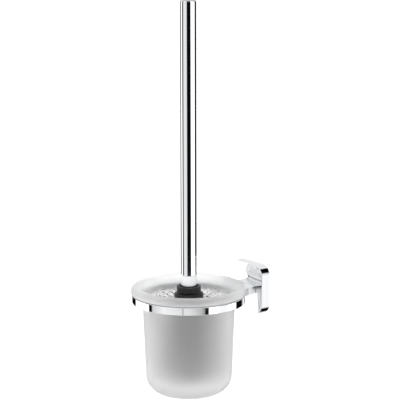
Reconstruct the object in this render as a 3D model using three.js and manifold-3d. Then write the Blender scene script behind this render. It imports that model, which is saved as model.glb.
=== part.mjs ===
// A wall-mounted toilet brush holder: a frosted glass cup hangs by its rim in a chrome ring, an arm
// and a rounded-square rosette carry the ring, and a brush with a long chrome handle stands in the cup.
// Millimetres, +Z up. The wall is the plane Y = 0 and the holder stands out towards -Y. The origin is
// the middle of the rosette's back, level with the middle of the ring.
import * as THREE from "three";
import { mergeVertices } from "three/addons/utils/BufferGeometryUtils.js";
import Module from "manifold-3d";

const wasm = await Module();
wasm.setup();

// ---- driving dimensions ----

const clearance = 0.3; // between pieces that touch

// From the brush outwards: bristles, cup, liner, ring, arm and rosette each follow from the one inside.
const tube = { r: 7.75, wall: 1, length: 280.5 };
const cap = { height: 1, edge: 0.5, spigot: 12 };
const collar = {
  recess: 1.45, // round the tube, inside the lip
  lip: 2.8,
  height: 6.6,
  lipDepth: 2.65,
  edge: 0.7,
  spigot: 25,
  spigotWall: 1,
};
const insert = { wall: 1.1, length: 18, shelf: 1.4 };
const stud = { above: 21, below: 17 };
const head = {
  coreR: 10,
  flangeLedge: 2.5, // past the collar
  flangeHeight: 6.5,
  flangeRound: 1.3, // upper edge
  flangeEdge: 0.5, // lower edge
  bristleR: 35,
  tipDrop: 0.3, // the top bristles' tips below the flange's top
  tiers: 9,
  endCornerR: 20,
  endLength: 17.4, // bristles under the core's end
};

const cup = {
  play: 4.9, // from the bristles to the wall, at the foot
  innerTaper: 2.6,
  wall: 3.3,
  outerTaper: 3.2,
  mouthR: 9.5,
  rimHeight: 7.4,
  shoulderR: 4,
  cornerR: 18,
  innerCornerR: 15,
  base: 7.75,
  depthBelowRing: 92,
  rootR: 1, // under the rim
};
const flangeDrop = 6.95; // the head's flange below the glass rim's top

const liner = { play: 0.6, wall: 2.2, flange: 0.5, setBack: 0.8, depth: 6.6, chamfer: 1.2 };
const ring = { width: 6.9, height: 7.5, edge: 0.4, rimOverhang: 1 };
const arm = { length: 16.7, backWidth: 31, waist: 32.5, frontWidth: 42 };
const armScrew = { r: 2, length: 11.4, headR: 3.8, headHeight: 2.4, offset: 9 };
const ringScrew = { r: 1.5, length: 11.6, headR: 2.7, headHeight: 2.2, offset: 13, sunk: 0.6 };
const socket = { hexR: 1.4, depth: 1.3 }; // hexagon drive in the screw heads

const rosette = { side: 50, depth: 10.3, cornerR: 11.2, wall: 3, face: 2.8, edge: 0.4 };
const plate = { thickness: 2.5, slotEdge: 3.7, slotLength: 10, slotR: 2.75 };
const lug = { width: 12, height: 4.5, bolt: 4 }; // bolt: the grub screw's distance from the wall
const grub = { r: 2, length: 6.5, sunk: 0.4, hexR: 1.15, hexDepth: 2 };

const segments = { large: 64, head: 36, small: 24, screw: 16 };
const past = 1; // how far a cutting shape runs past what it cuts

// ---- radii worked out from them ----

const spigotR = tube.r - tube.wall - clearance;
const collarBoreR = spigotR - collar.spigotWall;
const insertR = collarBoreR - clearance;
const insertBoreR = insertR - insert.wall;
const studR = insertBoreR - clearance;
const lipR = tube.r + collar.recess;
const collarR = lipR + collar.lip;
const flangeR = collarR + head.flangeLedge;

const innerFootR = head.bristleR + cup.play;
const innerR = innerFootR + cup.innerTaper;
const wallR = innerR + cup.wall;
const footR = wallR - cup.outerTaper;
const linerBoreR = wallR + liner.play;
const linerR = linerBoreR + liner.wall;
const ringBoreR = linerR + clearance;
const ringR = ringBoreR + ring.width;
const rimR = ringR + ring.rimOverhang;
const reach = rosette.depth + arm.length + ringR; // wall to the axis of ring, cup and brush

// ---- heights worked out from them ----

const ringTop = ring.height / 2;
const rimUnderside = ringTop + clearance + liner.flange + clearance;
const rimTop = rimUnderside + cup.rimHeight;
const cupBottom = -ringTop - cup.depthBelowRing;
const cupFloor = cupBottom + cup.base;
const flangeTop = rimTop - flangeDrop;
const collarBottom = flangeTop + clearance;
const collarTop = collarBottom + collar.height;
const collarFloor = collarTop - collar.lipDepth;
const insertBottom = collarFloor + insert.shelf;
const tubeBottom = collarFloor + clearance;
const tubeTop = tubeBottom + tube.length;
const headBottom = cupFloor + clearance;
const coreBottom = headBottom + head.endLength;

// ---- materials ----

function material(color, roughness, metalness, opacity = 1) {
  return new THREE.MeshStandardMaterial({
    color,
    roughness,
    metalness,
    opacity,
    transparent: opacity < 1,
  });
}

const chrome = () => material(0xe6e9ec, 0.05, 1);
const steel = () => material(0xb4b7ba, 0.35, 1);
const brass = () => material(0xc8a45a, 0.3, 1);
const blackPlastic = () => material(0x2a2b2d, 0.45, 0);
const clearPlastic = () => material(0x8f9496, 0.4, 0, 0.8);
const frostedGlass = () => material(0xe4e8e8, 0.6, 0, 0.6);
const nylon = () => material(0xeeeeec, 0.6, 0);

// ---- shape helpers ----

// A closed geometry as a manifold-3d solid.
function solid(geometry) {
  const bare = geometry.clone();
  bare.deleteAttribute("normal");
  bare.deleteAttribute("uv");
  const merged = mergeVertices(bare, 1e-4);
  return new wasm.Manifold(
    new wasm.Mesh({
      numProp: 3,
      vertProperties: new Float32Array(merged.attributes.position.array),
      triVerts: new Uint32Array(merged.index.array),
    }),
  );
}

// A manifold-3d solid as a geometry.
function geometryOf(body) {
  const made = body.getMesh();
  const geometry = new THREE.BufferGeometry();
  geometry.setAttribute("position", new THREE.BufferAttribute(made.vertProperties, 3));
  geometry.setIndex(new THREE.BufferAttribute(made.triVerts, 1));
  geometry.computeVertexNormals();
  return geometry;
}

// base with every tool cut out of it.
function cut(base, ...tools) {
  return geometryOf(tools.reduce((body, tool) => body.subtract(solid(tool)), solid(base)));
}

// Points along an arc in a profile, both ends included. Angles in degrees.
function arc(x, z, r, from, to, steps) {
  return Array.from({ length: steps + 1 }, (_, i) => {
    const a = THREE.MathUtils.degToRad(from + ((to - from) * i) / steps);
    return [x + r * Math.cos(a), z + r * Math.sin(a)];
  });
}

// A profile of [radius, height] points, listed anticlockwise with the axis on the left, turned about Z.
function turned(profile, count) {
  const points = profile.map(([r, z]) => new THREE.Vector2(r, z));
  return new THREE.LatheGeometry(points, count).rotateX(Math.PI / 2);
}

// The same for a ring whose profile doesn't reach the axis.
function turnedRing(profile, count) {
  return turned([...profile, profile[0]], count);
}

// A cylinder along Z between two heights.
function post(r, low, high, count = segments.screw) {
  return new THREE.CylinderGeometry(r, r, high - low, count)
    .rotateX(Math.PI / 2)
    .translate(0, 0, (low + high) / 2);
}

// A cylinder along Y between two places, at height 0.
function rod(r, x, from, to, count = segments.screw) {
  return new THREE.CylinderGeometry(r, r, to - from, count).translate(x, (from + to) / 2, 0);
}

// A square with round corners, in the wall's plane, from the wall outwards between two depths.
function roundedSquare(side, cornerR, near, far, edge = 0) {
  const h = side / 2 - edge;
  const r = cornerR - edge;
  const shape = new THREE.Shape();
  shape.moveTo(-h + r, -h);
  shape.absarc(h - r, -h + r, r, -Math.PI / 2, 0);
  shape.absarc(h - r, h - r, r, 0, Math.PI / 2);
  shape.absarc(-h + r, h - r, r, Math.PI / 2, Math.PI);
  shape.absarc(-h + r, -h + r, r, Math.PI, 1.5 * Math.PI);
  const body = new THREE.ExtrudeGeometry(shape, {
    depth: far - near - edge,
    bevelEnabled: edge > 0,
    bevelThickness: edge,
    bevelSize: edge,
    bevelSegments: 1,
    curveSegments: 8,
  });
  return body.rotateX(Math.PI / 2).translate(0, -near, 0);
}

// ---- wall bracket ----

const pocketSide = rosette.side - 2 * rosette.wall;
const pocketDepth = rosette.depth - rosette.face;
const pocketCornerR = rosette.cornerR - rosette.wall;
const plateSide = pocketSide - 2 * clearance;
const lugDepth = pocketDepth - clearance;
const slotHeight = plateSide / 2 - plate.slotEdge - plate.slotLength / 2;
const grubTip = -rosette.side / 2 + grub.sunk + grub.length;

function slotCut(z, alongX) {
  const half = plate.slotLength / 2 - plate.slotR;
  const shape = new THREE.Shape();
  shape.absarc(half, 0, plate.slotR, -Math.PI / 2, Math.PI / 2);
  shape.absarc(-half, 0, plate.slotR, Math.PI / 2, 1.5 * Math.PI);
  return new THREE.ExtrudeGeometry(shape, {
    depth: plate.thickness + 2 * past,
    bevelEnabled: false,
    curveSegments: 8,
  })
    .rotateZ(alongX ? 0 : Math.PI / 2)
    .rotateX(Math.PI / 2)
    .translate(0, past, z);
}

function wallPlate() {
  const bottom = -plateSide / 2;
  const block = new THREE.BoxGeometry(lug.width, lugDepth, lug.height).translate(
    0,
    -lugDepth / 2,
    bottom + lug.height / 2,
  );
  const flat = roundedSquare(plateSide, pocketCornerR - clearance, 0, plate.thickness);
  const seat = post(grub.r + clearance, bottom - past, grubTip + clearance).translate(0, -lug.bolt, 0);
  const whole = geometryOf(solid(flat).add(solid(block)));
  return cut(whole, slotCut(slotHeight, false), slotCut(-slotHeight, true), seat);
}

function rosetteCover() {
  const shell = roundedSquare(rosette.side, rosette.cornerR, 0, rosette.depth, rosette.edge);
  const behind = new THREE.BoxGeometry(rosette.side, past, rosette.side).translate(0, past / 2, 0);
  const pocket = roundedSquare(pocketSide, pocketCornerR, -past, pocketDepth);
  const grubHole = post(grub.r + clearance, -rosette.side / 2 - past, -pocketSide / 2 + past);
  grubHole.translate(0, -lug.bolt, 0);
  const screwHoles = [-1, 1].map((side) =>
    rod(armScrew.r + clearance, side * armScrew.offset, -rosette.depth - past, -pocketDepth + past),
  );
  return cut(shell, behind, pocket, grubHole, ...screwHoles);
}

function grubScrew() {
  const low = -rosette.side / 2 + grub.sunk;
  const drive = post(grub.hexR, low - past, low + grub.hexDepth, 6);
  return cut(post(grub.r, low, grubTip), drive).translate(0, -lug.bolt, 0);
}

// The arm's outline in plan, from the rosette's face to past the ring's outside, where the ring cuts it.
function armBlank() {
  const back = -rosette.depth - clearance;
  const front = -reach + Math.sqrt(ringR ** 2 - (arm.frontWidth / 2) ** 2);
  const shape = new THREE.Shape();
  shape.moveTo(arm.backWidth / 2, back);
  shape.lineTo(-arm.backWidth / 2, back);
  shape.quadraticCurveTo(-arm.waist / 2, (back + front) / 2, -arm.frontWidth / 2, front);
  shape.lineTo(arm.frontWidth / 2, front);
  shape.quadraticCurveTo(arm.waist / 2, (back + front) / 2, arm.backWidth / 2, back);
  return new THREE.ExtrudeGeometry(shape, {
    depth: ring.height,
    bevelEnabled: false,
    curveSegments: 8,
  }).translate(0, 0, -ringTop);
}

// Each pair of screws is the same screw on the left and on the right. Places are along Y.
const armScrewHead = -pocketDepth + clearance;
const armScrewTip = armScrewHead - armScrew.length;
const ringScrewHead = -reach + Math.sqrt(ringBoreR ** 2 - (ringScrew.offset - ringScrew.headR) ** 2);
const ringScrewSeat = ringScrewHead + ringScrew.sunk + ringScrew.headHeight;
const ringScrewTip = ringScrewSeat + ringScrew.length;

function armBar() {
  const ringSpace = post(ringR + clearance, -ring.height, ring.height, segments.large);
  ringSpace.translate(0, -reach, 0);
  const holes = [-1, 1].flatMap((side) => [
    rod(armScrew.r + clearance, side * armScrew.offset, armScrewTip - clearance, 0),
    rod(
      ringScrew.r + clearance,
      side * ringScrew.offset,
      ringScrewSeat - past,
      ringScrewTip + clearance,
    ),
  ]);
  return cut(armBlank(), ringSpace, ...holes);
}

function armScrewBody(side) {
  const x = side * armScrew.offset;
  const top = armScrewHead + armScrew.headHeight;
  const whole = solid(rod(armScrew.r, x, armScrewTip, top - socket.depth / 2)).add(
    solid(rod(armScrew.headR, x, armScrewHead, top)),
  );
  return cut(geometryOf(whole), rod(socket.hexR, x, top - socket.depth, top + past, 6));
}

function ringScrewBody(side) {
  const x = side * ringScrew.offset;
  const top = ringScrewSeat - ringScrew.headHeight;
  const whole = solid(rod(ringScrew.r, x, top + socket.depth / 2, ringScrewTip)).add(
    solid(rod(ringScrew.headR, x, top, ringScrewSeat)),
  );
  return cut(geometryOf(whole), rod(socket.hexR, x, top - past, top + socket.depth, 6));
}

function holderRing() {
  const [inner, outer, e] = [ringBoreR, ringR, ring.edge];
  const profile = [
    [inner + e, -ringTop],
    [outer - e, -ringTop],
    [outer, -ringTop + e],
    [outer, ringTop - e],
    [outer - e, ringTop],
    [inner + e, ringTop],
    [inner, ringTop - e],
    [inner, -ringTop + e],
  ];
  const holes = [-1, 1].flatMap((side) => [
    rod(
      ringScrew.r + clearance,
      side * ringScrew.offset,
      ringScrewSeat - past,
      -reach + ringR + past,
    ),
    rod(
      ringScrew.headR + clearance,
      side * ringScrew.offset,
      ringScrewHead - ring.width,
      ringScrewSeat + clearance,
    ),
  ]);
  return cut(turnedRing(profile, segments.large).translate(0, -reach, 0), ...holes);
}

function ringLiner() {
  const flangeBottom = ringTop + clearance;
  const top = flangeBottom + liner.flange;
  const profile = [
    [linerBoreR, top - liner.depth],
    [linerR, top - liner.depth],
    [linerR, flangeBottom],
    [ringR - liner.setBack, flangeBottom],
    [ringR - liner.setBack, top],
    [linerBoreR + liner.chamfer, top],
    [linerBoreR, top - liner.chamfer],
  ];
  return turnedRing(profile, segments.large);
}

// ---- glass ----

// Outside from the bottom up, over the thick rim, and down the inside to the floor.
function glassCup() {
  const { cornerR, innerCornerR, rootR, shoulderR, mouthR } = cup;
  const profile = [
    [0, cupBottom],
    ...arc(footR - cornerR, cupBottom + cornerR, cornerR, -90, 0, 6),
    ...arc(wallR + rootR, rimUnderside - rootR, rootR, 180, 90, 2),
    [rimR - rootR, rimUnderside],
    [rimR, rimUnderside + rootR],
    ...arc(rimR - shoulderR, rimTop - shoulderR, shoulderR, 0, 90, 4),
    ...arc(innerR + mouthR, rimTop - mouthR, mouthR, 90, 180, 6),
    ...arc(innerFootR - innerCornerR, cupFloor + innerCornerR, innerCornerR, 0, -90, 5),
    [0, cupFloor],
  ];
  return turned(profile, segments.large);
}

// ---- brush head ----

function brushCore() {
  const { coreR, flangeRound, flangeEdge: e } = head;
  const flangeLow = flangeTop - head.flangeHeight;
  const profile = [
    ...arc(0, coreBottom + coreR, coreR, -90, 0, 5),
    [coreR, flangeLow],
    [flangeR - e, flangeLow],
    [flangeR, flangeLow + e],
    ...arc(flangeR - flangeRound, flangeTop - flangeRound, flangeRound, 0, 90, 3),
    [0, flangeTop],
  ];
  const holeFloor = flangeTop - stud.below - clearance;
  const hole = post(studR + clearance, holeFloor, flangeTop + past, segments.small);
  return cut(turned(profile, segments.head), hole);
}

function headStud() {
  return post(studR, flangeTop - stud.below, flangeTop + stud.above, segments.small);
}

// The bristles fan out: their roots share the core evenly and their tips share the round outline.
// The highest line between root and tip passes just under the flange's edge.
const rootR = head.coreR + clearance;
const tipTop = flangeTop - head.tipDrop;
const underFlange = flangeTop - head.flangeHeight - clearance;
const flangeShare = (flangeR + clearance - rootR) / (head.bristleR - rootR);
const rootTop = (underFlange - tipTop * flangeShare) / (1 - flangeShare);
const rootBottom = coreBottom + head.coreR;
const cornerMiddle = headBottom + head.endCornerR;
const straightLength = tipTop - cornerMiddle;
const cornerShare = (head.endCornerR * Math.PI) / 4; // the fan's last tips lie half way round the corner

// Root and tip of the line between two tiers, as [radius, height], for a share from 0 (top) to 1.
function fanLine(share) {
  const along = share * (straightLength + cornerShare);
  const turn = Math.max(0, along - straightLength) / head.endCornerR;
  return {
    root: [rootR, rootTop + (rootBottom - rootTop) * share],
    tip: [
      head.bristleR - head.endCornerR * (1 - Math.cos(turn)),
      turn > 0 ? cornerMiddle - head.endCornerR * Math.sin(turn) : tipTop - along,
    ],
  };
}

function bristleTier(index) {
  const upper = fanLine(index / head.tiers);
  const lower = fanLine((index + 1) / head.tiers);
  const profile = [
    [lower.root[0], lower.root[1] + clearance],
    [lower.tip[0], lower.tip[1] + clearance],
    upper.tip,
    upper.root,
  ];
  return turnedRing(profile, segments.head);
}

// The round lower end, under the last tier and round the core's end.
function bristleEndTuft() {
  const { root } = fanLine(1);
  const { endCornerR, bristleR, coreR } = head;
  const coreEnd = coreBottom + coreR;
  const profile = [
    [0, headBottom],
    ...arc(bristleR - endCornerR, cornerMiddle, endCornerR, -90, -45, 4),
    root,
    ...arc(0, coreEnd, coreR + clearance, -15, -75, 4),
    [0, coreEnd - coreR - clearance],
  ];
  return turned(profile, segments.head);
}

// ---- handle ----

function handleTube() {
  const profile = [
    [tube.r - tube.wall, tubeBottom],
    [tube.r, tubeBottom],
    [tube.r, tubeTop],
    [tube.r - tube.wall, tubeTop],
  ];
  return turnedRing(profile, segments.head);
}

function handleEndCap() {
  const seat = tubeTop + clearance;
  const profile = [
    [0, seat - cap.spigot],
    [spigotR, seat - cap.spigot],
    [spigotR, seat],
    [tube.r, seat],
    [tube.r, seat + cap.height - cap.edge],
    [tube.r - cap.edge, seat + cap.height],
    [0, seat + cap.height],
  ];
  return turned(profile, segments.head);
}

// A skirt with a lip round the tube, and a spigot up inside the tube whose bore takes the insert.
function collarBody() {
  const passR = insertBoreR + clearance;
  const shelf = insertBottom - clearance;
  const spigotTop = collarFloor + collar.spigot;
  const profile = [
    [passR, collarBottom],
    [collarR - collar.edge, collarBottom],
    [collarR, collarBottom + collar.edge],
    [collarR, collarTop - collar.edge],
    [collarR - collar.edge, collarTop],
    [lipR + collar.edge, collarTop],
    [lipR, collarTop - collar.edge],
    [lipR, collarFloor],
    [spigotR, collarFloor],
    [spigotR, spigotTop],
    [collarBoreR, spigotTop],
    [collarBoreR, shelf],
    [passR, shelf],
  ];
  return turnedRing(profile, segments.head);
}

function threadInsert() {
  const insertTop = insertBottom + insert.length;
  const profile = [
    [insertBoreR, insertBottom],
    [insertR, insertBottom],
    [insertR, insertTop],
    [insertBoreR, insertTop],
  ];
  return turnedRing(profile, segments.small);
}

// ---- the assembly ----

function piece(name, geometry, finish) {
  const mesh = new THREE.Mesh(geometry, finish);
  mesh.name = name;
  return mesh;
}

const bracket = new THREE.Group();
bracket.add(
  piece("wall_plate", wallPlate(), steel()),
  piece("rosette_cover", rosetteCover(), chrome()),
  piece("grub_screw", grubScrew(), steel()),
  piece("arm", armBar(), chrome()),
  piece("holder_ring", holderRing(), chrome()),
);
for (const [word, side] of [
  ["left", -1],
  ["right", 1],
]) {
  bracket.add(
    piece("arm_screw_" + word, armScrewBody(side), steel()),
    piece("ring_screw_" + word, ringScrewBody(side), steel()),
  );
}

// What turns about the cup's axis is modelled round Z and moved out from the wall together.
const brushHead = new THREE.Group();
brushHead.add(
  piece("brush_core", brushCore(), blackPlastic()),
  piece("head_stud", headStud(), steel()),
);
for (let index = 0; index < head.tiers; index += 1) {
  brushHead.add(piece("bristle_tier_" + (index + 1), bristleTier(index), nylon()));
}
brushHead.add(piece("bristle_end_tuft", bristleEndTuft(), nylon()));

const handle = new THREE.Group();
handle.add(
  piece("handle_tube", handleTube(), chrome()),
  piece("handle_end_cap", handleEndCap(), chrome()),
  piece("collar", collarBody(), blackPlastic()),
  piece("thread_insert", threadInsert(), brass()),
);

const onAxis = new THREE.Group();
onAxis.position.y = -reach;
onAxis.add(
  piece("ring_liner", ringLiner(), clearPlastic()),
  piece("glass_cup", glassCup(), frostedGlass()),
  brushHead,
  handle,
);

const holder = new THREE.Group();
holder.add(bracket, onAxis);

export default holder;
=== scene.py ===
"""Looks for the wall-mounted toilet brush holder: chrome bracket, frosted glass cup and long-handled brush.

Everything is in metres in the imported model's frame: the wall is the plane Y = 0, the holder stands out
towards -Y, and +Z is up. Sizes marked in millimetres are turned into metres by MM.
"""

import math
import random

import bmesh
import bpy
from mathutils import Matrix, Vector

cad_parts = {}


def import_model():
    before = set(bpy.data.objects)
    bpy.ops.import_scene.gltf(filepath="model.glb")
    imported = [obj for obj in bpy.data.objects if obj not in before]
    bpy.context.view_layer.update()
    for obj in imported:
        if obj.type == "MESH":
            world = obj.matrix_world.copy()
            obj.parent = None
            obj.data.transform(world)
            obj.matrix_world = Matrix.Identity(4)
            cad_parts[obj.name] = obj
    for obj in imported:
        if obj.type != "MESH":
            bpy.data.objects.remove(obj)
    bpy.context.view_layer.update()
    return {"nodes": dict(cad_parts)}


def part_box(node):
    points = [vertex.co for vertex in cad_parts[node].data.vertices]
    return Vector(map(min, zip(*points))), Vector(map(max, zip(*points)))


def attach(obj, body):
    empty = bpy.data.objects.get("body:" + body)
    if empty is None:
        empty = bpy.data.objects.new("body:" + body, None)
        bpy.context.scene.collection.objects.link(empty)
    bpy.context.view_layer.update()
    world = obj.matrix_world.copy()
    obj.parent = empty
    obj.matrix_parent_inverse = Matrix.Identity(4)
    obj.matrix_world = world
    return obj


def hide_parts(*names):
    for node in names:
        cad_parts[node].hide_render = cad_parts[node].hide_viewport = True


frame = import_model()

MM = 0.001
GAP = 0.3 * MM  # between pieces that touch
SEED = 7


# ---- places and sizes taken from the frame ----


def height(node):
    """The lowest and highest Z of a CAD node."""
    low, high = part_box(node)
    return low.z, high.z


def outer_radius(node):
    """Half the width of a CAD node that is turned about the cup's axis."""
    low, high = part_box(node)
    return (high.x - low.x) / 2


ring_low, ring_high = height("holder_ring")
ring_r = outer_radius("holder_ring")
liner_low, liner_top = height("ring_liner")
liner_flange_r = outer_radius("ring_liner")
cup_bottom, rim_top = height("glass_cup")
rim_r = outer_radius("glass_cup")
AXIS_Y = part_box("holder_ring")[0].y + ring_r
flange_r = outer_radius("brush_core")
core_bottom, flange_top = height("brush_core")
collar_r = outer_radius("collar")
collar_bottom, spigot_top = height("collar")
tube_bottom, tube_top = height("handle_tube")
tube_r = outer_radius("handle_tube")
cap_bottom, cap_top = height("handle_end_cap")
rosette_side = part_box("rosette_cover")[1].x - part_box("rosette_cover")[0].x
rosette_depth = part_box("rosette_cover")[1].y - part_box("rosette_cover")[0].y
arm_low, arm_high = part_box("arm")
bristle_r = outer_radius("bristle_tier_1")
head_bottom = height("bristle_end_tuft")[0]


# ---- mesh helpers ----


def mesh_piece(name, verts, faces, material, sharp=35):
    """A smooth-shaded mesh object whose edges sharper than an angle in degrees stay crisp."""
    mesh = bpy.data.meshes.new(name)
    mesh.from_pydata(verts, [], faces)
    mesh.validate()
    mesh.polygons.foreach_set("use_smooth", [True] * len(mesh.polygons))
    mesh.set_sharp_from_angle(angle=math.radians(sharp))
    mesh.materials.append(material)
    piece = bpy.data.objects.new(name, mesh)
    bpy.context.scene.collection.objects.link(piece)
    even_shading(piece)
    return piece


def even_shading(piece):
    """Keeps large faces flat next to the small ones that round their edges."""
    even = piece.modifiers.new("even shading", "WEIGHTED_NORMAL")
    even.keep_sharp = True


def arc(x, z, r, start, end, steps):
    """Points on an arc, both ends included. Angles in degrees."""
    angles = [math.radians(start + (end - start) * i / steps) for i in range(steps + 1)]
    return [(x + r * math.cos(a), z + r * math.sin(a)) for a in angles]


def turned(name, profile, material, count=160, sharp=35):
    """A profile of (radius, height) points, anticlockwise with the axis on the left, turned about the axis.
    A profile that starts and ends on the axis is closed there, and any other closes on itself."""
    on_axis = profile[0][0] == 0
    verts, rows = [], []
    for r, z in profile:
        if r == 0:
            rows.append([len(verts)] * count)
            verts.append((0, AXIS_Y, z))
            continue
        rows.append(list(range(len(verts), len(verts) + count)))
        for j in range(count):
            a = 2 * math.pi * j / count
            verts.append((r * math.cos(a), AXIS_Y + r * math.sin(a), z))
    faces = []
    pairs = zip(rows, rows[1:]) if on_axis else zip(rows, rows[1:] + rows[:1])
    for low, high in pairs:
        for j in range(count):
            k = (j + 1) % count
            corners = [low[j], low[k], high[k], high[j]]
            faces.append(list(dict.fromkeys(corners)))
    return mesh_piece(name, verts, faces, material, sharp)


def rounded_square(side, corner_r, y, steps=12):
    """Points round a square with round corners, in the wall's plane at depth y."""
    h = side / 2 - corner_r
    middles = [(h, -h, -90), (h, h, 0), (-h, h, 90), (-h, -h, 180)]
    points = []
    for x, z, start in middles:
        points += arc(x, z, corner_r, start, start + 90, steps)
    return [(px, y, pz) for px, pz in points]


def loft(name, sections, material, sharp=35):
    """Rings of the same number of points joined one to the next, with a flat cap at each end."""
    count = len(sections[0])
    verts = [p for section in sections for p in section]
    faces = [list(range(count))]
    for s in range(len(sections) - 1):
        a, b = s * count, (s + 1) * count
        faces += [[a + j, b + j, b + (j + 1) % count, a + (j + 1) % count] for j in range(count)]
    last = (len(sections) - 1) * count
    faces.append(list(range(last + count - 1, last - 1, -1)))
    return mesh_piece(name, verts, faces, material, sharp)


def rod(start, end, r, count=32):
    """A plain cylinder between two points, for drilling a hole."""
    along = Vector(end) - Vector(start)
    turn = along.to_track_quat("Z", "Y").to_matrix().to_4x4()
    place = Matrix.Translation((Vector(start) + Vector(end)) / 2) @ turn
    bm = bmesh.new()
    bmesh.ops.create_cone(
        bm, cap_ends=True, segments=count, radius1=r, radius2=r, depth=along.length, matrix=place
    )
    return bm


def drill(piece, holes):
    """Cuts cylinders, each (start, end, radius), out of a piece."""
    for start, end, r in holes:
        bm = rod(start, end, r)
        mesh = bpy.data.meshes.new("drill")
        bm.to_mesh(mesh)
        bm.free()
        tool = bpy.data.objects.new("drill", mesh)
        bpy.context.scene.collection.objects.link(tool)
        piece.modifiers.clear()
        cut = piece.modifiers.new("hole", "BOOLEAN")
        cut.operation = "DIFFERENCE"
        cut.solver = "EXACT"
        cut.object = tool
        bpy.context.view_layer.update()
        graph = bpy.context.evaluated_depsgraph_get()
        result = bpy.data.meshes.new_from_object(piece.evaluated_get(graph))
        piece.modifiers.clear()
        piece.data = result
        bpy.data.objects.remove(tool)
    piece.data.set_sharp_from_angle(angle=math.radians(35))
    even_shading(piece)


def soften(piece, width):
    """Rounds the sharp edges of a piece."""
    piece.modifiers.clear()
    edge = piece.modifiers.new("edge", "BEVEL")
    edge.width = width
    edge.segments = 3
    edge.limit_method = "ANGLE"
    edge.angle_limit = math.radians(50)
    bpy.context.view_layer.update()
    graph = bpy.context.evaluated_depsgraph_get()
    piece.data = bpy.data.meshes.new_from_object(piece.evaluated_get(graph))
    piece.modifiers.clear()


def place(piece, body, slot, *nodes):
    """The piece stands for CAD nodes, which it hides, and rides on a body; the slot is not used."""
    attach(piece, body)
    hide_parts(*nodes)


# ---- materials ----


def new_material(name, color, roughness, metallic=0.0):
    """A material and its Principled shader."""
    material = bpy.data.materials.new(name)
    material.use_nodes = True
    shader = material.node_tree.nodes["Principled BSDF"]
    shader.inputs["Base Color"].default_value = (*color, 1)
    shader.inputs["Roughness"].default_value = roughness
    shader.inputs["Metallic"].default_value = metallic
    return material, shader


def noise(material, scale, detail=3.0, stretch=(1, 1, 1)):
    """Noise in the piece's own coordinates; scale is features per metre."""
    nodes, links = material.node_tree.nodes, material.node_tree.links
    coords = nodes.new("ShaderNodeTexCoord")
    mapping = nodes.new("ShaderNodeMapping")
    mapping.inputs["Scale"].default_value = stretch
    texture = nodes.new("ShaderNodeTexNoise")
    texture.inputs["Scale"].default_value = scale
    texture.inputs["Detail"].default_value = detail
    links.new(coords.outputs["Object"], mapping.inputs["Vector"])
    links.new(mapping.outputs["Vector"], texture.inputs["Vector"])
    return texture.outputs["Fac"]


def spread(material, source, low, high):
    """A 0 to 1 value mapped to a range."""
    node = material.node_tree.nodes.new("ShaderNodeMapRange")
    node.inputs["From Min"].default_value = 0.3
    node.inputs["From Max"].default_value = 0.7
    node.inputs["To Min"].default_value = low
    node.inputs["To Max"].default_value = high
    material.node_tree.links.new(source, node.inputs["Value"])
    return node.outputs["Result"]


def tint(material, source, dark, light):
    """A 0 to 1 value mapped between two colours."""
    node = material.node_tree.nodes.new("ShaderNodeMix")
    node.data_type = "RGBA"
    node.inputs[6].default_value = (*dark, 1)
    node.inputs[7].default_value = (*light, 1)
    material.node_tree.links.new(source, node.inputs[0])
    return node.outputs[2]


def bump(material, shader, source, depth, strength=1.0):
    """Raises the surface by a source times a depth in metres."""
    node = material.node_tree.nodes.new("ShaderNodeBump")
    node.inputs["Strength"].default_value = strength
    node.inputs["Distance"].default_value = depth
    material.node_tree.links.new(source, node.inputs["Height"])
    material.node_tree.links.new(node.outputs["Normal"], shader.inputs["Normal"])


def chrome_material():
    """Bright nickel-chrome plating with the faint unevenness of a polished casting."""
    material, shader = new_material("chrome", (0.93, 0.945, 0.96), 0.04, 1.0)
    cloud = noise(material, 38)
    material.node_tree.links.new(spread(material, cloud, 0.02, 0.05), shader.inputs["Roughness"])
    color = tint(material, noise(material, 22), (0.91, 0.925, 0.945), (0.955, 0.965, 0.975))
    material.node_tree.links.new(color, shader.inputs["Base Color"])
    bump(material, shader, noise(material, 90, 1.0), 0.004 * MM)
    return material


def steel_material():
    """Zinc-plated steel with a soft rolled grain."""
    material, shader = new_material("steel", (0.55, 0.56, 0.57), 0.38, 1.0)
    grain = noise(material, 420, 4.0, (1, 1, 0.08))
    material.node_tree.links.new(spread(material, grain, 0.28, 0.5), shader.inputs["Roughness"])
    color = tint(material, noise(material, 60), (0.47, 0.48, 0.49), (0.62, 0.63, 0.64))
    material.node_tree.links.new(color, shader.inputs["Base Color"])
    bump(material, shader, grain, 0.03 * MM)
    return material


def brass_material():
    """Turned brass."""
    material, shader = new_material("brass", (0.72, 0.55, 0.26), 0.28, 1.0)
    grain = noise(material, 300, 3.0, (0.1, 0.1, 1))
    material.node_tree.links.new(spread(material, grain, 0.2, 0.38), shader.inputs["Roughness"])
    color = tint(material, noise(material, 80), (0.62, 0.46, 0.2), (0.78, 0.61, 0.31))
    material.node_tree.links.new(color, shader.inputs["Base Color"])
    bump(material, shader, grain, 0.02 * MM)
    return material


def black_plastic_material():
    """Moulded black polypropylene with a fine satin grain."""
    material, shader = new_material("black_plastic", (0.012, 0.012, 0.013), 0.36)
    shader.inputs["Specular IOR Level"].default_value = 0.3
    grain = noise(material, 2600, 2.0)
    sheen = spread(material, noise(material, 240), 0.3, 0.44)
    material.node_tree.links.new(sheen, shader.inputs["Roughness"])
    color = tint(material, noise(material, 120), (0.009, 0.009, 0.01), (0.016, 0.016, 0.018))
    material.node_tree.links.new(color, shader.inputs["Base Color"])
    bump(material, shader, grain, 0.015 * MM)
    return material


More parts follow.
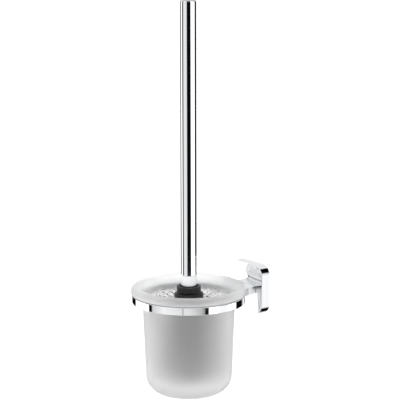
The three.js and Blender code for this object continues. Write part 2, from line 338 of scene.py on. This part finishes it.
def liner_material():
    """Grey moulded liner."""
    material, shader = new_material("liner_plastic", (0.55, 0.56, 0.57), 0.5)
    grain = noise(material, 1800, 2.0)
    material.node_tree.links.new(spread(material, grain, 0.42, 0.58), shader.inputs["Roughness"])
    color = tint(material, noise(material, 90), (0.52, 0.53, 0.54), (0.58, 0.59, 0.6))
    material.node_tree.links.new(color, shader.inputs["Base Color"])
    bump(material, shader, grain, 0.02 * MM)
    return material


def frosted_glass_material():
    """Acid-etched glass: light goes through, and the fine etched skin scatters it."""
    material, shader = new_material("frosted_glass", (0.93, 0.93, 0.93), 0.72)
    shader.inputs["Transmission Weight"].default_value = 1.0
    shader.inputs["IOR"].default_value = 1.5
    cloud = noise(material, 70, 2.0)
    material.node_tree.links.new(spread(material, cloud, 0.7, 0.74), shader.inputs["Roughness"])
    bump(material, shader, noise(material, 3200, 2.0), 0.01 * MM)
    return material


def nylon_material(name, dark, light, mottle):
    """Milky nylon filament, mottled between a dark and a light colour; the dark patches are painted shade for
    the gaps between filaments, and where the mottle is soft they are partly tone that varies at random. More
    mottle gives harder patches.
    """
    material, shader = new_material(name, light, 0.25)
    shader.inputs["Transmission Weight"].default_value = 0.15
    shader.inputs["Specular IOR Level"].default_value = 0.25
    # Painted shade: noise patches darken the filaments as if shadowed between them, mixed with random tone
    # where the mottle is soft.
    painted_shade_and_tone = spread(material, noise(material, 420, 0.0), 0.45 - mottle, 0.5 + mottle)
    color = tint(material, painted_shade_and_tone, dark, light)
    material.node_tree.links.new(color, shader.inputs["Base Color"])
    material.node_tree.links.new(spread(material, noise(material, 500), 0.2, 0.3), shader.inputs["Roughness"])
    bump(material, shader, noise(material, 4000, 1.0), 0.01 * MM)
    return material


CHROME = chrome_material()
STEEL = steel_material()
BRASS = brass_material()
BLACK = black_plastic_material()
LINER = liner_material()
GLASS = frosted_glass_material()
NYLON = nylon_material("nylon_bristle", (0.5, 0.5, 0.5), (0.95, 0.95, 0.94), 0.5)
# The top tiers' nylon paints hard black and white patches: painted shade for the dark gaps between their
# tufts.
NYLON_TOP_PAINTED_SHADE = nylon_material("nylon_bristle_top_painted_shade", (0.0, 0.0, 0.0), (1.0, 1.0, 0.99), 2.4)


# ---- wall bracket ----

ROSETTE_CORNER = 11.2 * MM
ROSETTE_WALL = 3 * MM
ROSETTE_FACE = 2.8 * MM
ROSETTE_EDGE = 0.5 * MM
ARM_SCREW_X = 9 * MM
ARM_SCREW_R = 2 * MM
RING_SCREW_X = 13 * MM
RING_SCREW_R = 1.5 * MM
RING_SCREW_HEAD_R = 2.7 * MM
RING_SCREW_HEAD_HEIGHT = 2.2 * MM
ARM_BACK = 31 * MM  # the arm's width at the rosette
ARM_WAIST = 32.5 * MM
ARM_FRONT = 42 * MM
ARM_EDGE = 0.35 * MM
RING_WIDTH = 6.9 * MM
RING_EDGE = 0.45 * MM
LINER_BORE = 46.4 * MM
LINER_OUTER = 48.6 * MM
LINER_FLANGE = 0.5 * MM
LINER_CHAMFER = 1.2 * MM
FINE_EDGE = 0.15 * MM
PAST = 1 * MM  # how far a drill starts outside what it cuts
GRUB_Y = -4 * MM


def rosette_cover():
    """Rounded-square cover: flat mirror face, crisp edge, open pocket at the back."""
    side, depth, e = rosette_side, rosette_depth, ROSETTE_EDGE
    edge = arc(0, 0, e, 90, 0, 6)  # (inset from the rim, depth of the round)
    sections = []
    for across, forward in edge:
        inset = e - across
        sections.append(rounded_square(side - 2 * inset, ROSETTE_CORNER - inset, -(depth - e + forward)))
    pocket_side = side - 2 * ROSETTE_WALL
    pocket_r = ROSETTE_CORNER - ROSETTE_WALL
    sections.append(rounded_square(side, ROSETTE_CORNER, 0))
    sections.append(rounded_square(pocket_side, pocket_r, 0))
    sections.append(rounded_square(pocket_side, pocket_r, -(depth - ROSETTE_FACE)))
    piece = loft("rosette_cover_chrome", sections, CHROME)
    screw_r = (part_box("grub_screw")[1].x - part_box("grub_screw")[0].x) / 2 + GAP
    holes = [
        ((x, -depth - PAST, 0), (x, -depth / 2, 0), screw_r)
        for x in (-ARM_SCREW_X, ARM_SCREW_X)
    ]
    bottom = -side / 2
    holes.append(((0, GRUB_Y, bottom - PAST), (0, GRUB_Y, bottom + ROSETTE_WALL + PAST), screw_r))
    drill(piece, holes)
    place(piece, "bracket", "chrome", "rosette_cover")


def arm():
    """Flat bar, narrow at the rosette and flared to the ring, whose round it follows."""
    back_half, front_half, waist = ARM_BACK / 2, ARM_FRONT / 2, ARM_WAIST / 2
    back = arm_high.y
    front = AXIS_Y + math.sqrt(ring_r**2 - front_half**2)
    seat_r = ring_r + GAP

    def curve(t):
        """Half width and place along the flared side, from the rosette (0) to the ring (1)."""
        middle = (back + front) / 2
        w = (1 - t) ** 2 * back_half + 2 * t * (1 - t) * waist + t**2 * front_half
        y = (1 - t) ** 2 * back + 2 * t * (1 - t) * middle + t**2 * front
        return w, y

    steps = 24
    side = [curve(i / steps) for i in range(steps + 1)]
    right = [(w, y) for w, y in side if math.hypot(w, y - AXIS_Y) > seat_r]
    end_angle = math.atan2(right[-1][1] - AXIS_Y, right[-1][0])
    seat_steps = 40
    angles = [end_angle + (math.pi - 2 * end_angle) * i / seat_steps for i in range(seat_steps + 1)]
    seat = [(seat_r * math.cos(a), AXIS_Y + seat_r * math.sin(a)) for a in angles]
    outline = right + seat + [(-w, y) for w, y in reversed(right)]
    sections = [[(x, y, z) for x, y in outline] for z in (arm_low.z, arm_high.z)]
    piece = loft("arm_chrome", sections, CHROME)
    soften(piece, ARM_EDGE)
    arm_screw_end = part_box("arm_screw_left")[0].y - GAP
    ring_screw_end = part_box("ring_screw_left")[1].y + GAP
    holes = [
        ((x, back + PAST, 0), (x, arm_screw_end, 0), ARM_SCREW_R + GAP) for x in (-ARM_SCREW_X, ARM_SCREW_X)
    ]
    holes += [
        ((x, front - 8 * PAST, 0), (x, ring_screw_end, 0), RING_SCREW_R + GAP)
        for x in (-RING_SCREW_X, RING_SCREW_X)
    ]
    drill(piece, holes)
    place(piece, "bracket", "chrome", "arm")


def holder_ring():
    """Chrome ring that carries the glass, with softened edges."""
    e = RING_EDGE
    inner = ring_r - RING_WIDTH
    profile = (
        arc(ring_r - e, ring_low + e, e, -90, 0, 4)
        + arc(ring_r - e, ring_high - e, e, 0, 90, 4)
        + arc(inner + e, ring_high - e, e, 90, 180, 4)
        + arc(inner + e, ring_low + e, e, 180, 270, 4)
    )
    piece = turned("holder_ring_chrome", profile, CHROME, 256)
    head_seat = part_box("ring_screw_left")[0].y + RING_SCREW_HEAD_HEIGHT + GAP
    holes = []
    for x in (-RING_SCREW_X, RING_SCREW_X):
        holes.append(((x, AXIS_Y, 0), (x, head_seat, 0), RING_SCREW_HEAD_R + GAP))
        holes.append(((x, AXIS_Y, 0), (x, AXIS_Y + ring_r + 5 * PAST, 0), RING_SCREW_R + GAP))
    drill(piece, holes)
    place(piece, "bracket", "chrome", "holder_ring")


def ring_liner():
    """Thin plastic liner between the glass and the ring."""
    bore, outer, chamfer, e = LINER_BORE, LINER_OUTER, LINER_CHAMFER, FINE_EDGE
    flange_low = liner_top - LINER_FLANGE
    profile = [
        (bore, liner_low),
        (outer - e, liner_low),
        (outer, liner_low + e),
        (outer, flange_low),
        (liner_flange_r - e, flange_low),
        (liner_flange_r, flange_low + e),
        (liner_flange_r, liner_top - e),
        (liner_flange_r - e, liner_top),
        (bore + chamfer, liner_top),
        (bore, liner_top - chamfer),
    ]
    piece = turned("ring_liner_plastic", profile, LINER, 192)
    place(piece, "bracket", "liner_plastic", "ring_liner")


# ---- glass ----


def glass_cup():
    """Thick rounded rim, bell mouth, slightly tapered wall and a heavy base with round corners."""
    wall_r, foot_r, inner_r, inner_foot_r = (v * MM for v in (45.8, 42.6, 42.5, 39.9))
    corner, inner_corner, mouth, shoulder, root = (v * MM for v in (18, 15, 9.5, 4, 1))
    floor = cup_bottom + 7.75 * MM
    under = rim_top - 7.4 * MM
    profile = (
        [(0, cup_bottom)]
        + arc(foot_r - corner, cup_bottom + corner, corner, -90, 0, 20)
        + arc(wall_r + root, under - root, root, 180, 90, 6)
        + arc(rim_r - root, under + root, root, -90, 0, 6)
        + arc(rim_r - shoulder, rim_top - shoulder, shoulder, 0, 90, 14)
        + arc(inner_r + mouth, rim_top - mouth, mouth, 90, 180, 18)
        + arc(inner_foot_r - inner_corner, floor + inner_corner, inner_corner, 0, -90, 16)
        + [(0, floor)]
    )
    piece = turned("glass_cup_frosted", profile, GLASS, 192)
    place(piece, "cup", "frosted_glass", "glass_cup")


# ---- brush head ----

CORE_R = 10 * MM
FLANGE_HEIGHT = 6.5 * MM
FLANGE_EDGE = 0.5 * MM  # its lower edge
FLANGE_ROUND = 1.3 * MM  # its upper edge
HEAD_CORNER_R = 20 * MM  # the brush's round lower end
BRISTLE_R = 0.28 * MM
BRISTLE_SCATTER = 2.4 * MM
BRISTLES_ROUND = 62
TOP_TIERS = 2  # these stand in open tufts and carry a hard painted-shade mottle, which together show as strokes with dark gaps
TOP_BRISTLES_ROUND = 42
TOP_ROWS, LOWER_ROWS = 3, 4  # rows of filaments in a tier
END_BRISTLES_ROUND = 50
END_ROWS = 7


def brush_core():
    """Black core with the flange that the handle's collar lands on."""
    core_r, e, shoulder = CORE_R, FLANGE_EDGE, FLANGE_ROUND
    flange_low = flange_top - FLANGE_HEIGHT
    profile = (
        arc(0, core_bottom + core_r, core_r, -90, 0, 12)[1:]
        + [(core_r, flange_low)]
        + arc(flange_r - e, flange_low + e, e, -90, 0, 4)
        + arc(flange_r - shoulder, flange_top - shoulder, shoulder, 0, 90, 8)
    )
    stud_r = outer_radius("head_stud") + GAP
    hole_floor = height("head_stud")[0] - GAP
    profile = [(0, core_bottom)] + profile + [(stud_r, flange_top), (stud_r, hole_floor), (0, hole_floor)]
    piece = turned("brush_core_black", profile, BLACK, 96)
    place(piece, "brush_head", "black_plastic", "brush_core")


def filament(verts, faces, root, tip, r, sag, sides=3, steps=3):
    """Adds one tapered filament from root to tip, bowed sideways by sag."""
    along = tip - root
    across = along.orthogonal().normalized()
    other = along.cross(across).normalized()
    first = len(verts)
    for s in range(steps + 1):
        t = s / steps
        middle = root + along * t + sag * (4 * t * (1 - t))
        width = r * (1 - 0.25 * t)
        for k in range(sides):
            a = 2 * math.pi * k / sides
            verts.append(middle + across * (width * math.cos(a)) + other * (width * math.sin(a)))
    for s in range(steps):
        for k in range(sides):
            n = (k + 1) % sides
            a, b = first + s * sides, first + (s + 1) * sides
            faces.append((a + k, a + n, b + n, b + k))
    faces.append(tuple(first + k for k in reversed(range(sides))))
    faces.append(tuple(first + steps * sides + k for k in range(sides)))


def bristles(name, node, rows, count, shuffle, material=NYLON):
    """Filaments round the core. Each row is (root radius, root height, tip radius, tip height)."""
    verts, faces = [], []
    middle = Vector((0, AXIS_Y, 0))
    for index, (root_r, root_z, tip_r, tip_z) in enumerate(rows):
        for t in range(count):
            turn = 2 * math.pi * (t + 0.5 * (index % 2) + shuffle.gauss(0, 0.16)) / count
            lean = turn + shuffle.gauss(0, 0.03)
            reach = tip_r * (1 - abs(shuffle.gauss(0, 0.018)))
            rise = shuffle.uniform(-1, 1) * BRISTLE_SCATTER
            root_way = Vector((math.cos(turn), math.sin(turn), 0))
            tip_way = Vector((math.cos(lean), math.sin(lean), 0))
            root = middle + root_way * root_r + Vector((0, 0, root_z + rise * 0.3))
            tip = middle + tip_way * reach + Vector((0, 0, tip_z + rise))
            sag = Vector((shuffle.gauss(0, 1), shuffle.gauss(0, 1), shuffle.gauss(0, 1))) * 0.2 * MM
            filament(verts, faces, root, tip, BRISTLE_R, sag)
    piece = mesh_piece(name, verts, faces, material, 60)
    place(piece, "brush_head", "nylon_bristle", node)


def brush_bristles():
    """Nine tiers along the core and the bristles that close the round lower end."""
    tiers = sorted(
        (n for n in frame["nodes"] if n.startswith("bristle_tier_")), key=lambda n: int(n.rsplit("_", 1)[1])
    )
    shuffle = random.Random(SEED)
    corner_r = HEAD_CORNER_R
    tip_top = height(tiers[0])[1]
    under_flange = flange_top - FLANGE_HEIGHT - GAP
    flange_share = (flange_r + GAP - CORE_R) / (bristle_r - CORE_R)
    root_top = (under_flange - tip_top * flange_share) / (1 - flange_share)
    root_bottom = core_bottom + CORE_R
    corner_middle = head_bottom + corner_r
    straight = tip_top - corner_middle
    whole = straight + corner_r * math.pi / 4
    def row(share):
        """Root and tip of the fan at a share from the top (0) to the last tier's lower side (1)."""
        along = share * whole
        turn = max(0.0, along - straight) / corner_r
        tip_r = bristle_r - corner_r * (1 - math.cos(turn))
        tip_z = corner_middle - corner_r * math.sin(turn) if turn > 0 else tip_top - along
        return CORE_R - 0.5 * MM, root_top + (root_bottom - root_top) * share, tip_r, tip_z

    for index, node in enumerate(tiers):
        top = index < TOP_TIERS
        count = TOP_ROWS if top else LOWER_ROWS
        rows = [row((index + (k + 0.6) / count) / len(tiers)) for k in range(count)]
        # The top tiers take the nylon with hard painted shade.
        around, material = (TOP_BRISTLES_ROUND, NYLON_TOP_PAINTED_SHADE) if top else (BRISTLES_ROUND, NYLON)
        bristles(f"bristles_{index + 1}", node, rows, around, shuffle, material)
    rows = []
    for k in range(END_ROWS):
        lean = (k + 0.5) / END_ROWS
        turn = math.radians(90 - 45 * lean)
        root_x = (CORE_R - 0.5 * MM) * math.cos(turn)
        root_z = root_bottom - (CORE_R - 0.5 * MM) * math.sin(turn)
        tip_x = (bristle_r - corner_r) * lean**0.5 + corner_r * math.cos(turn)
        rows.append((root_x, root_z, tip_x, corner_middle - corner_r * math.sin(turn) + BRISTLE_SCATTER))
    bristles("bristles_end", "bristle_end_tuft", rows, END_BRISTLES_ROUND, shuffle)


# ---- handle ----

TUBE_WALL = 1 * MM
CAP_EDGE = 0.5 * MM
COLLAR_EDGE = 0.7 * MM
COLLAR_LIP_R = 9.2 * MM
COLLAR_HEIGHT = 6.6 * MM
COLLAR_RECESS = 2.65 * MM  # depth of the groove that the tube's end stands in

def handle_tube():
    """Long polished tube, a millimetre thick."""
    e, inner = FINE_EDGE, tube_r - TUBE_WALL
    profile = [
        (inner, tube_bottom),
        (tube_r - e, tube_bottom),
        (tube_r, tube_bottom + e),
        (tube_r, tube_top - e),
        (tube_r - e, tube_top),
        (inner, tube_top),
    ]
    piece = turned("handle_tube_chrome", profile, CHROME, 128)
    place(piece, "handle", "chrome", "handle_tube")


def handle_end_cap():
    """Flat chrome cap with a softened edge and a spigot inside the tube."""
    e, spigot_r = CAP_EDGE, tube_r - TUBE_WALL - GAP
    seat = tube_top + GAP
    profile = (
        [(0, cap_bottom), (spigot_r, cap_bottom), (spigot_r, seat), (tube_r, seat)]
        + arc(tube_r - e, cap_top - e, e, 0, 90, 6)
        + [(0, cap_top)]
    )
    piece = turned("handle_end_cap_chrome", profile, CHROME, 128)
    place(piece, "handle", "chrome", "handle_end_cap")


def collar():
    """Black end piece: a skirt with a raised lip round the tube and a spigot up inside it."""
    e, lip_r, spigot_r = COLLAR_EDGE, COLLAR_LIP_R, tube_r - TUBE_WALL - GAP
    top = collar_bottom + COLLAR_HEIGHT
    seat = top - COLLAR_RECESS
    insert_r = outer_radius("thread_insert") + GAP
    pass_r = outer_radius("head_stud") + 2 * GAP
    shelf = height("thread_insert")[0] - GAP
    profile = (
        [(pass_r, collar_bottom)]
        + arc(collar_r - e, collar_bottom + e, e, -90, 0, 4)
        + arc(collar_r - e, top - e, e, 0, 90, 5)
        + arc(lip_r + e, top - e, e, 90, 180, 5)
        + [(lip_r, seat), (spigot_r, seat), (spigot_r, spigot_top), (insert_r, spigot_top)]
        + [(insert_r, shelf), (pass_r, shelf)]
    )
    piece = turned("collar_black", profile, BLACK, 96)
    place(piece, "handle", "black_plastic", "collar")


def hidden_hardware():
    """The CAD pieces that stay as they are get their finish."""
    finishes = {
        STEEL: ["wall_plate", "grub_screw", "head_stud"]
        + [f"{kind}_screw_{side}" for kind in ("arm", "ring") for side in ("left", "right")],
        BRASS: ["thread_insert"],
    }
    for material, nodes in finishes.items():
        for node in nodes:
            piece = frame["nodes"][node]
            piece.data.materials.clear()
            piece.data.materials.append(material)


# ---- camera, light and floor ----

VIEW_AZIMUTH = 53.5
VIEW_DISTANCE = 1.4385
VIEW_HEIGHT = 0.369
VIEW_PITCH = 10.67
VIEW_YAW = 0.4437
VIEW_ROLL = -0.073
LENS = 135.0
SENSOR = 36


def camera():
    """Long lens, looking down a little from the front right."""
    data = bpy.data.cameras.new("camera")
    data.sensor_width = SENSOR
    data.lens = LENS
    data.clip_end = 100
    view = bpy.data.objects.new("camera", data)
    bpy.context.scene.collection.objects.link(view)
    a = math.radians(VIEW_AZIMUTH)
    view.location = (VIEW_DISTANCE * math.sin(a), AXIS_Y - VIEW_DISTANCE * math.cos(a), VIEW_HEIGHT)
    turn = Matrix.Rotation(a - math.radians(VIEW_YAW), 4, "Z")
    tilt = Matrix.Rotation(math.radians(90 - VIEW_PITCH), 4, "X")
    roll = Matrix.Rotation(math.radians(VIEW_ROLL), 4, "Z")
    view.rotation_euler = (turn @ tilt @ roll).to_euler()
    bpy.context.scene.camera = view


WHITE_LIGHT = 1.0
FLOOR_DROP = 0.35
FLOOR_SIDE = 60

# What the chrome sees round the object, as (degrees to the right of the camera, brightness out of 255),
# with straight ramps from one entry to the next. Upright things mirror the upper one, and what is seen
# from higher up, as the ring is, mirrors the lower one.
STUDIO_UPPER = [
    (-180, 20), (-126, 20), (-123, 300), (-99, 300), (-97, 60), (-77, 60), (-75, 220), (-50, 240), (-23, 225),
    (-18, 18), (34, 18), (38, 300), (60, 300), (66, 256), (82, 256), (88, 300), (103, 300), (106, 20),
    (180, 20),
]
STUDIO_LOWER = [
    (-180, 20), (-139, 20), (-136, 300), (-90, 300), (-88, 20), (-81, 20), (-79, 210), (-52, 250), (-14, 230),
    (-13, 170), (-11.5, 170), (-10.5, 230), (0, 230), (25, 190), (32, 150), (34, 20), (40, 20), (42, 300),
    (60, 300), (66, 256), (82, 256), (88, 300), (110, 300), (113, 20), (137, 20), (140, 200), (152, 230),
    (160, 20), (180, 20),
]
# Seen above STUDIO_CEILING and below STUDIO_FLOOR, as the rosette's rounded corners do.
STUDIO_OVERHEAD = [(-180, 238), (76, 238), (79, 14), (110, 14), (114, 238), (180, 238)]
STUDIO_UNDER = [(-180, 238), (94, 238), (98, 14), (158, 14), (162, 238), (180, 238)]
STUDIO_SPLIT = -13.95  # degrees above the horizon where the lower one takes over
STUDIO_CEILING = 4.0  # degrees above the horizon where the overhead one takes over
STUDIO_FLOOR = -33.0  # degrees above the horizon where the one underfoot takes over


def shade(value):
    """A display value out of 255 as linear light; above 255 it is brighter than white."""
    share = value / 255
    return share**2.2


def studio_ramp(nodes, stops):
    """Brightness round the horizon, for a factor that runs from 0 behind to 0.5 at the camera."""
    ramp = nodes.new("ShaderNodeValToRGB")
    elements = ramp.color_ramp.elements
    while len(elements) > 1:
        elements.remove(elements[-1])
    for i, (degrees, value) in enumerate(stops):
        at = (degrees + 180) / 360
        stop = elements[0] if i == 0 else elements.new(at)
        stop.position = at
        stop.color = (shade(value), shade(value), shade(value), 1)
    return ramp


def height_mix(studio, upward, split, blend, below, above):
    """One picture below a number of degrees above the horizon and another above it."""
    nodes, links = studio.node_tree.nodes, studio.node_tree.links
    share = nodes.new("ShaderNodeMapRange")
    share.inputs["From Min"].default_value = math.sin(math.radians(split - blend))
    share.inputs["From Max"].default_value = math.sin(math.radians(split + blend))
    mix = nodes.new("ShaderNodeMix")
    mix.data_type = "RGBA"
    links.new(upward, share.inputs["Value"])
    links.new(share.outputs["Result"], mix.inputs[0])
    links.new(below, mix.inputs[6])
    links.new(above, mix.inputs[7])
    return mix.outputs[2]


def world():
    """Even white light, in which polished surfaces mirror a studio of bright and dark boards."""
    studio = bpy.data.worlds.new("studio")
    bpy.context.scene.world = studio
    studio.use_nodes = True
    nodes, links = studio.node_tree.nodes, studio.node_tree.links
    background = nodes["Background"]
    coords = nodes.new("ShaderNodeTexCoord")
    mapping = nodes.new("ShaderNodeMapping")
    mapping.vector_type = "TEXTURE"
    mapping.inputs["Rotation"].default_value = (0, 0, math.radians(VIEW_AZIMUTH - 90))
    parts = nodes.new("ShaderNodeSeparateXYZ")
    angle = nodes.new("ShaderNodeMath")
    angle.operation = "ARCTAN2"
    share = nodes.new("ShaderNodeMapRange")
    share.inputs["From Min"].default_value = -math.pi
    share.inputs["From Max"].default_value = math.pi
    upper = studio_ramp(nodes, STUDIO_UPPER)
    lower = studio_ramp(nodes, STUDIO_LOWER)
    overhead = studio_ramp(nodes, STUDIO_OVERHEAD)
    under = studio_ramp(nodes, STUDIO_UNDER)
    up = parts.outputs["Z"]
    boards = height_mix(studio, up, STUDIO_FLOOR, 2.0, under.outputs["Color"], lower.outputs["Color"])
    boards = height_mix(studio, up, STUDIO_SPLIT, 0.2, boards, upper.outputs["Color"])
    boards = height_mix(studio, up, STUDIO_CEILING, 2.0, boards, overhead.outputs["Color"])
    path = nodes.new("ShaderNodeLightPath")
    mirrored = nodes.new("ShaderNodeMath")
    mirrored.operation = "MULTIPLY"
    mix = nodes.new("ShaderNodeMix")
    mix.data_type = "RGBA"
    mix.inputs[6].default_value = (WHITE_LIGHT, WHITE_LIGHT, WHITE_LIGHT, 1)
    links.new(coords.outputs["Generated"], mapping.inputs["Vector"])
    links.new(mapping.outputs["Vector"], parts.inputs["Vector"])
    links.new(parts.outputs["Y"], angle.inputs[0])
    links.new(parts.outputs["X"], angle.inputs[1])
    links.new(angle.outputs[0], share.inputs["Value"])
    for ramp in (under, lower, upper, overhead):
        links.new(share.outputs["Result"], ramp.inputs["Fac"])
    links.new(path.outputs["Is Glossy Ray"], mirrored.inputs[0])
    links.new(path.outputs["Is Reflection Ray"], mirrored.inputs[1])
    links.new(mirrored.outputs[0], mix.inputs[0])
    links.new(boards, mix.inputs[7])
    links.new(mix.outputs[2], background.inputs["Color"])


def floor():
    """A wide pale floor well under the holder."""
    material, shader = new_material("floor", (0.9, 0.9, 0.9), 0.9)
    color = tint(material, noise(material, 3), (0.88, 0.88, 0.88), (0.92, 0.92, 0.92))
    material.node_tree.links.new(color, shader.inputs["Base Color"])
    z = cup_bottom - FLOOR_DROP
    half = FLOOR_SIDE / 2
    corners = [(-half, -half, z), (half, -half, z), (half, half, z), (-half, half, z)]
    piece = mesh_piece("floor", corners, [(0, 1, 2, 3)], material)
    piece.visible_glossy = False


def lights():
    """Large soft lights that fill the pale floor and the glass."""
    sun_data = bpy.data.lights.new("fill", "SUN")
    sun_data.energy = 1.0
    sun_data.angle = math.radians(60)
    sun = bpy.data.objects.new("fill", sun_data)
    sun.rotation_euler = (math.radians(15), math.radians(-10), 0)
    sun.visible_glossy = False
    bpy.context.scene.collection.objects.link(sun)


def output_look():
    """Plain display of the light, so that the pale floor comes out white."""
    settings = bpy.context.scene.view_settings
    settings.view_transform = "Standard"
    settings.look = "None"


camera()
world()
floor()
lights()
output_look()
rosette_cover()
arm()
holder_ring()
ring_liner()
glass_cup()
brush_core()
brush_bristles()
handle_tube()
handle_end_cap()
collar()
hidden_hardware()
